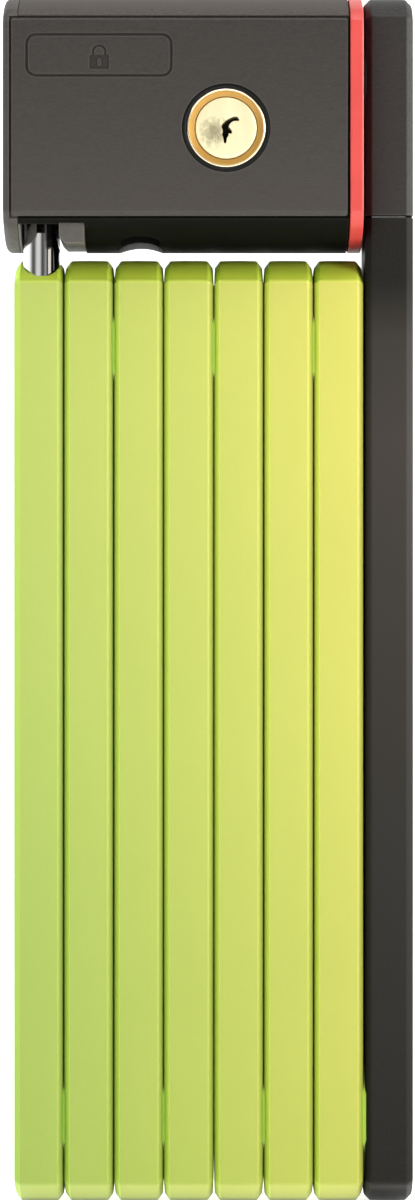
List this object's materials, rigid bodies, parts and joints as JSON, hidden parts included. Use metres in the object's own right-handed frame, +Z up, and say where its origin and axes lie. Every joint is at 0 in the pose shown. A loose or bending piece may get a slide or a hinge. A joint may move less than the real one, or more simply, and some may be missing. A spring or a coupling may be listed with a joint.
{
  "type": "folding link lock",
  "caption": "Folded bicycle lock: rounded, sleeved steel bars riveted end to end and stacked side by side under a swivelling case with a key cylinder and sliding bolt.",
  "frame": {"origin": "bottom centre of the folded lock's bounding box", "axes": "+Z up along the folded bars, -Y the front with the keyway, +X towards the long outer bar"},
  "size_m": [0.0612, 0.032, 0.182],
  "materials": {
    "steel": "hardened flat bar, fine rolled grain",
    "bolt_steel": "polished nickel plate",
    "sleeve_green": "satin soft-touch sleeve, fine moulded texture",
    "sleeve_black": "satin black sleeve",
    "case_black": "satin black moulding",
    "cover_grain": "dark grained soft cover",
    "plate_red": "satin red",
    "liner_grey": "grey moulding",
    "ring_black": "smooth black ring",
    "brass": "turned brass, bright rim",
    "plug_brass": "pale plated brass"
  },
  "bodies": {
    "outer_link": {"outer_core": "steel", "outer_sleeve": "sleeve_black", "pivot_cap": "sleeve_black", "swivel_pin": "steel", "swivel_washer": "sleeve_black", "rivet_8": "steel", "spacer_8": "sleeve_green"},
    "link_7": {"core_7": "steel", "sleeve_7": "sleeve_green", "rivet_7": "steel", "spacer_7": "sleeve_green"},
    "link_6": {"core_6": "steel", "sleeve_6": "sleeve_green", "rivet_6": "steel", "spacer_6": "sleeve_green"},
    "link_5": {"core_5": "steel", "sleeve_5": "sleeve_green", "rivet_5": "steel", "spacer_5": "sleeve_green"},
    "link_4": {"core_4": "steel", "sleeve_4": "sleeve_green", "rivet_4": "steel", "spacer_4": "sleeve_green"},
    "link_3": {"core_3": "steel", "sleeve_3": "sleeve_green", "rivet_3": "steel", "spacer_3": "sleeve_green"},
    "link_2": {"core_2": "steel", "sleeve_2": "sleeve_green", "rivet_2": "steel", "spacer_2": "sleeve_green"},
    "link_1": {"core_1": "steel", "sleeve_1": "sleeve_green", "bolt_head": "bolt_steel"},
    "lock_case": {"case_shell": "case_black", "case_end_cap": "case_black", "front_cover": "cover_grain", "rear_cover": "case_black", "side_plate": "plate_red", "socket_liner": "liner_grey", "cylinder_ring": "ring_black", "cylinder_housing": "brass", "badge_bar": "cover_grain", "screw_upper": "steel", "screw_lower": "steel"},
    "lock_plug": {"plug": "plug_brass", "cam": "steel"},
    "deadbolt": {"deadbolt": "steel"}
  },
  "joints": [
    {"name": "case_swivel", "type": "hinge", "parent": "outer_link", "child": "lock_case", "pos_m": [0.022, 0, 0.1695], "axis": [-1, 0, 0], "range_deg": [0, 180]},
    {"name": "link_7_hinge", "type": "hinge", "parent": "outer_link", "child": "link_7", "pos_m": [0.02325, 0, 0.0135], "axis": [-1, 0, 0], "range_deg": [0, 180]},
    {"name": "link_6_hinge", "type": "hinge", "parent": "link_7", "child": "link_6", "pos_m": [0.01575, 0, 0.1289], "axis": [-1, 0, 0], "range_deg": [0, 100]},
    {"name": "link_5_hinge", "type": "hinge", "parent": "link_6", "child": "link_5", "pos_m": [0.00825, 0, 0.0135], "axis": [-1, 0, 0], "range_deg": [0, 180]},
    {"name": "link_4_hinge", "type": "hinge", "parent": "link_5", "child": "link_4", "pos_m": [0.00075, 0, 0.1289], "axis": [-1, 0, 0], "range_deg": [0, 100]},
    {"name": "link_3_hinge", "type": "hinge", "parent": "link_4", "child": "link_3", "pos_m": [-0.00675, 0, 0.0135], "axis": [-1, 0, 0], "range_deg": [0, 180]},
    {"name": "link_2_hinge", "type": "hinge", "parent": "link_3", "child": "link_2", "pos_m": [-0.01425, 0, 0.1289], "axis": [-1, 0, 0], "range_deg": [0, 100]},
    {"name": "link_1_hinge", "type": "hinge", "parent": "link_2", "child": "link_1", "pos_m": [-0.02175, 0, 0.0135], "axis": [-1, 0, 0], "range_deg": [0, 180]},
    {"name": "plug_turn", "type": "hinge", "parent": "lock_case", "child": "lock_plug", "pos_m": [0.0026, -0.004, 0.1612], "axis": [0, 1, 0], "range_deg": [0, 90]},
    {"name": "deadbolt_slide", "type": "slide", "parent": "lock_case", "child": "deadbolt", "axis": [-1, 0, 0], "range_m": [0, 0.00495]}
  ],
  "couplings": [
    {"joint": "plug_turn", "follows": "deadbolt_slide", "rad_per_m": 317.3}
  ]
}
